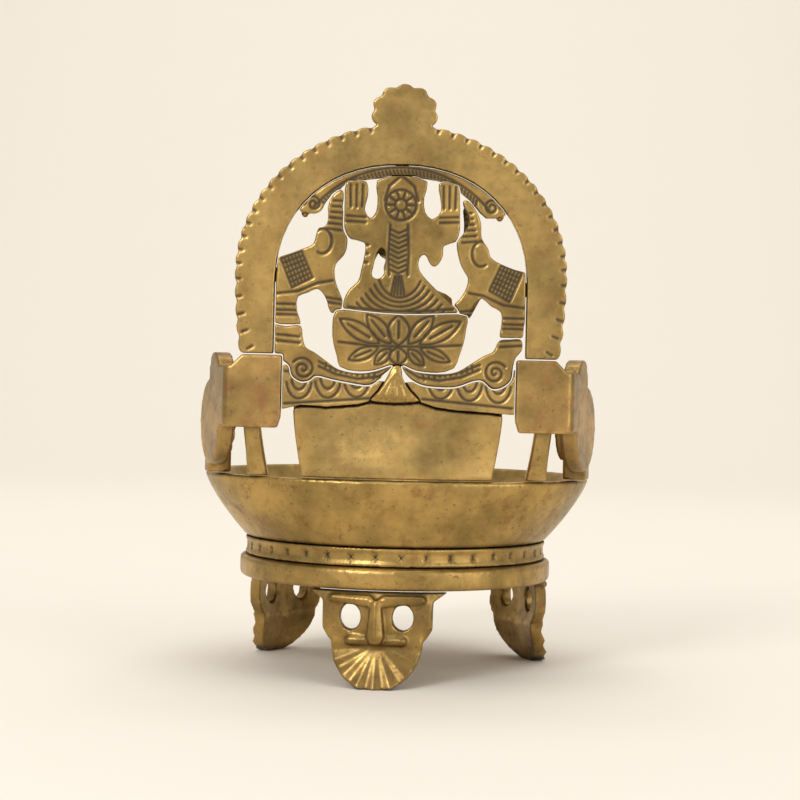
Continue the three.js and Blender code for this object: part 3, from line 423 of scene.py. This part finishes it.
def chase(piece, strokes, width=0.42, depth=0.34):
    """Cuts round-bottomed grooves along strokes into the back of a plaque piece."""
    mesh = piece.data
    points = read_points(mesh)
    normals = read_normals(mesh)
    u = -points[:, 0] / MM
    z = points[:, 2] / MM
    nearest = np.full(len(u), 9.0)
    for stroke in strokes:
        for (x0, z0), (x1, z1) in zip(stroke, stroke[1:]):
            dx, dz = x1 - x0, z1 - z0
            size = max(dx * dx + dz * dz, 1e-9)
            t = np.clip(((u - x0) * dx + (z - z0) * dz) / size, 0, 1)
            nearest = np.minimum(nearest, np.hypot(u - x0 - t * dx, z - z0 - t * dz))
    facing = np.clip((normals[:, 1] - 0.25) / 0.5, 0, 1)
    cut = np.exp(-((nearest / width) ** 2)) * facing
    points[:, 1] -= cut * depth * MM
    write_points(mesh, points, np.clip(cut * 1.15 - 0.12, 0, 1) * 0.92)


def punch_stars(piece, count=39, reach=0.9, depth=0.5):
    """A row of eight-rayed stars punched into the collar."""
    mesh = piece.data
    points = read_points(mesh)
    low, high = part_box("collar_band")
    middle = (low.z + high.z) / 2
    dx, dy = points[:, 0] - axis.x, points[:, 1] - axis.y
    radius = np.hypot(dx, dy)
    outer = radius.max()
    angle = np.arctan2(dy, dx)
    pitch = 2 * math.pi / count
    along = ((angle / pitch + 0.5) % 1 - 0.5) * pitch * outer / MM
    up = (points[:, 2] - middle) / MM
    distance = np.hypot(along, up)
    rays = 0.62 + 0.38 * np.cos(8 * np.arctan2(up, along))
    cut = np.clip(1.35 - distance / (reach * rays + 0.12), 0, 1) * (radius > outer - 0.9 * MM)
    points[:, 0] -= dx / radius * cut * depth * MM
    points[:, 1] -= dy / radius * cut * depth * MM
    write_points(mesh, points, cut * 0.95)


def plain(piece):
    """Leaves the casting unchased."""
    write_points(piece.data, read_points(piece.data), np.zeros(len(piece.data.vertices)))


def round_facets(piece):
    """Turns the flat faces round a bowl or ring into the circle that their corners lie on."""
    mesh = piece.data
    points = read_points(mesh)
    dx, dy = points[:, 0] - axis.x, points[:, 1] - axis.y
    half = math.pi / FACETS
    off = np.mod(np.arctan2(dx, dy), 2 * half) - half
    share = np.clip((np.hypot(dx, dy) / MM - 20) / 8, 0, 1)
    grow = 1 + (np.cos(off) / math.cos(half) - 1) * share
    points[:, 0] = axis.x + dx * grow
    points[:, 1] = axis.y + dy * grow
    mesh.vertices.foreach_set("co", points.ravel())
    mesh.update()


density = {
    "oil_bowl": (COARSE, 7),
    "stand_plate": (COARSE, 5),
    "collar_band": (RING, 4),
    "support_plate": (MEDIUM, 10),
    "arch_frame": (MEDIUM, 3),
    "left_wing": (MEDIUM, 5),
    "right_wing": (MEDIUM, 5),
}
for node in frame["nodes"]:
    voxel, smoothing = density.get(node, (FINE, 4))
    if node.endswith("foot"):
        voxel, smoothing = MEDIUM, 4
    piece = refined(node, voxel, smoothing)
    if node in ("oil_bowl", "stand_plate", "collar_band"):
        round_facets(piece)
    if node in chasing:
        chase(piece, chasing[node])
    elif node == "collar_band":
        punch_stars(piece)
    else:
        plain(piece)


# Floor and backdrop in one sweep

def sweep():
    """A pale floor that curves up into a wall on the far side of the lamp."""
    profile = [(2.5, 0.0), (-0.9, 0.0)]
    bend = 0.9
    for k in range(1, 13):
        a = math.radians(90 * k / 12)
        profile.append((-0.9 - bend * math.sin(a), bend * (1 - math.cos(a))))
    profile.append((-0.9 - bend, 3.0))
    half = 3.0
    points = [(x, y, z) for y, z in profile for x in (-half, half)]
    faces = [(2 * i, 2 * i + 1, 2 * i + 3, 2 * i + 2) for i in range(len(profile) - 1)]
    mesh = bpy.data.meshes.new("sweep")
    mesh.from_pydata(points, [], faces)
    for polygon in mesh.polygons:
        polygon.use_smooth = True
    floor = bpy.data.objects.new("sweep", mesh)
    bpy.context.scene.collection.objects.link(floor)
    material = bpy.data.materials.new("paper")
    material.use_nodes = True
    shader = material.node_tree.nodes["Principled BSDF"]
    shader.inputs["Base Color"].default_value = (0.84, 0.79, 0.71, 1)
    shader.inputs["Roughness"].default_value = 0.95
    mesh.materials.append(material)


sweep()


# Light

def softbox(name, place, target, size, power):
    """A square, white area lamp that faces a point."""
    data = bpy.data.lights.new(name, "AREA")
    data.size = size
    data.energy = power
    lamp = bpy.data.objects.new(name, data)
    lamp.location = place
    lamp.rotation_euler = (Vector(target) - Vector(place)).to_track_quat("-Z", "Y").to_euler()
    bpy.context.scene.collection.objects.link(lamp)


middle = (axis.x, axis.y, 0.07)
softbox("key", (0.45, 0.9, 0.6), middle, 0.3, 4.5)
softbox("fill", (-0.8, 0.8, 0.35), middle, 0.7, 3)
softbox("top", (0.0, 0.1, 1.1), middle, 0.9, 3)
softbox("backdrop", (0.0, -0.5, 1.4), (0, -1.8, 0.5), 1.2, 9)

world = bpy.data.worlds.new("room")
world.use_nodes = True
world.node_tree.nodes["Background"].inputs["Color"].default_value = (1.0, 0.97, 0.92, 1)
world.node_tree.nodes["Background"].inputs["Strength"].default_value = 0.62
bpy.context.scene.world = world
bpy.context.scene.view_settings.view_transform = "Standard"


# Camera

camera_data = bpy.data.cameras.new("camera")
camera_data.lens = LENS_MM
camera_data.sensor_width = SENSOR_MM
camera_data.clip_start = 0.01
camera = bpy.data.objects.new("camera", camera_data)
bpy.context.scene.collection.objects.link(camera)
upright = Matrix.Rotation(math.pi, 4, "Z") @ Matrix.Rotation(math.pi / 2 - CAMERA_PITCH, 4, "X")
camera.matrix_world = (
    Matrix.Translation((axis.x + CAMERA_ASIDE, axis.y + CAMERA_DISTANCE, CAMERA_HEIGHT))
    @ upright
    @ Matrix.Rotation(CAMERA_ROLL, 4, "Z")
)
bpy.context.scene.camera = camera
